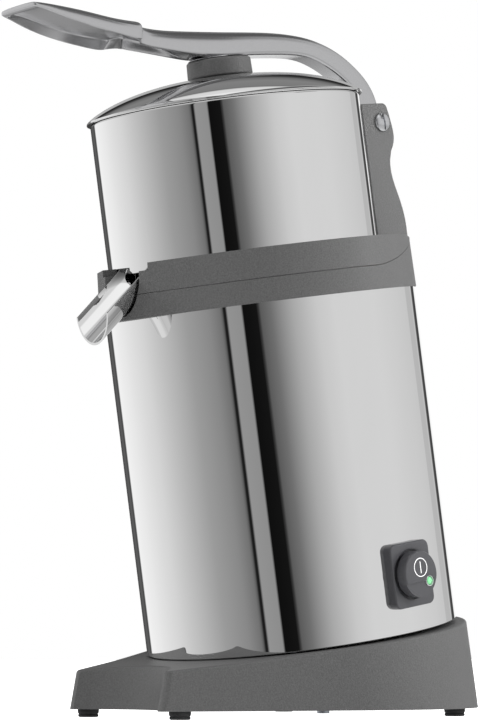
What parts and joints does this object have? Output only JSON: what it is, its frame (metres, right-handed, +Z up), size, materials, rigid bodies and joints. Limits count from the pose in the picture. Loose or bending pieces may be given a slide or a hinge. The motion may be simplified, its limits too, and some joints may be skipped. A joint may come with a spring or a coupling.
{
  "type": "electric citrus juicer",
  "caption": "leaning steel citrus juicer: cast base, mirror-polished tube, juice bowl with spout, and a lid with press cup that a cast lever lowers over a motor-driven reamer",
  "frame": {"origin": "on the table plane, under the centre of the closed juicer's bounding box in plan, measured without the small overhang of the power button", "axes": "+Z up; -Y is the front, where the spout and the paddle of the lever point; +X is the side of the power button"},
  "size_m": [0.2202, 0.342, 0.4429],
  "materials": {
    "powder_coat": "dark grey, fine-textured powder coat, satin",
    "mirror_steel": "mirror-polished stainless steel",
    "satin_steel": "satin stainless steel, fine grain",
    "zinc_steel": "zinc-plated steel",
    "lamination": "varnished electrical steel laminations",
    "winding": "varnished copper windings with lacing",
    "cast_aluminium": "satin-polished cast aluminium",
    "raw_aluminium": "raw die-cast aluminium",
    "bearing_steel": "ground bearing steel",
    "black_rubber": "matte black rubber",
    "black_nylon": "matte black nylon",
    "switch_plastic": "charcoal plastic, semi-gloss",
    "terminal_resin": "cream thermoset resin",
    "capacitor_can": "drawn aluminium can",
    "food_resin": "off-white food-grade plastic",
    "bush_plastic": "natural acetal",
    "green_lens": "translucent green lens"
  },
  "bodies": {
    "stand": {"base_casting": "powder_coat", "base_plate": "zinc_steel", "base_plate_screws": "zinc_steel", "rubber_feet": "black_rubber", "foot_screws": "zinc_steel", "cable_gland": "black_nylon", "gland_nut": "black_nylon", "base_gasket": "black_rubber", "tie_rods": "zinc_steel", "tie_rod_nuts": "zinc_steel", "body_tube": "mirror_steel", "head_casting": "powder_coat", "motor_top_shield": "raw_aluminium", "motor_stator": "lamination", "motor_windings": "winding", "motor_bottom_shield": "raw_aluminium", "motor_bolts": "zinc_steel", "upper_bearing": "bearing_steel", "lower_bearing": "bearing_steel", "shaft_seal": "black_rubber", "capacitor": "capacitor_can", "capacitor_clip": "zinc_steel", "terminal_block": "terminal_resin", "bowl": "mirror_steel", "spout": "mirror_steel", "strainer": "satin_steel", "switch_plate": "switch_plastic", "switch_body": "black_nylon", "pivot_screw": "satin_steel", "pivot_nut": "satin_steel"},
    "lever": {"lever_arm": "cast_aluminium", "pivot_bushes": "bush_plastic"},
    "lid": {"lid_knob": "powder_coat", "lid_dome": "mirror_steel", "press_cup": "food_resin", "lid_screw": "satin_steel"},
    "spindle": {"motor_shaft": "bearing_steel", "rotor_core": "lamination", "cooling_fan": "black_nylon", "drive_pin": "bearing_steel", "reamer": "food_resin", "slinger": "black_rubber"},
    "button": {"power_button": "switch_plastic", "indicator_lens": "green_lens"}
  },
  "joints": [
    {"name": "lever_hinge", "type": "hinge", "parent": "stand", "child": "lever", "pos_m": [0, 0.11162, 0.39099], "axis": [-1, 0, 0], "range_deg": [0, 95]},
    {"name": "lid_turn", "type": "hinge", "parent": "lever", "child": "lid", "pos_m": [0, -0.01404, 0.42007], "axis": [0, -0.1616, 0.9869], "continuous": true},
    {"name": "spindle_spin", "type": "hinge", "parent": "stand", "child": "spindle", "pos_m": [0, 0.01425, 0.24737], "axis": [0, -0.1616, 0.9869], "continuous": true},
    {"name": "button_press", "type": "slide", "parent": "stand", "child": "button", "axis": [-0.9981, -0.0602, -0.0099], "range_m": [0, 0.0025], "stiffness_N_per_m": 600}
  ]
}
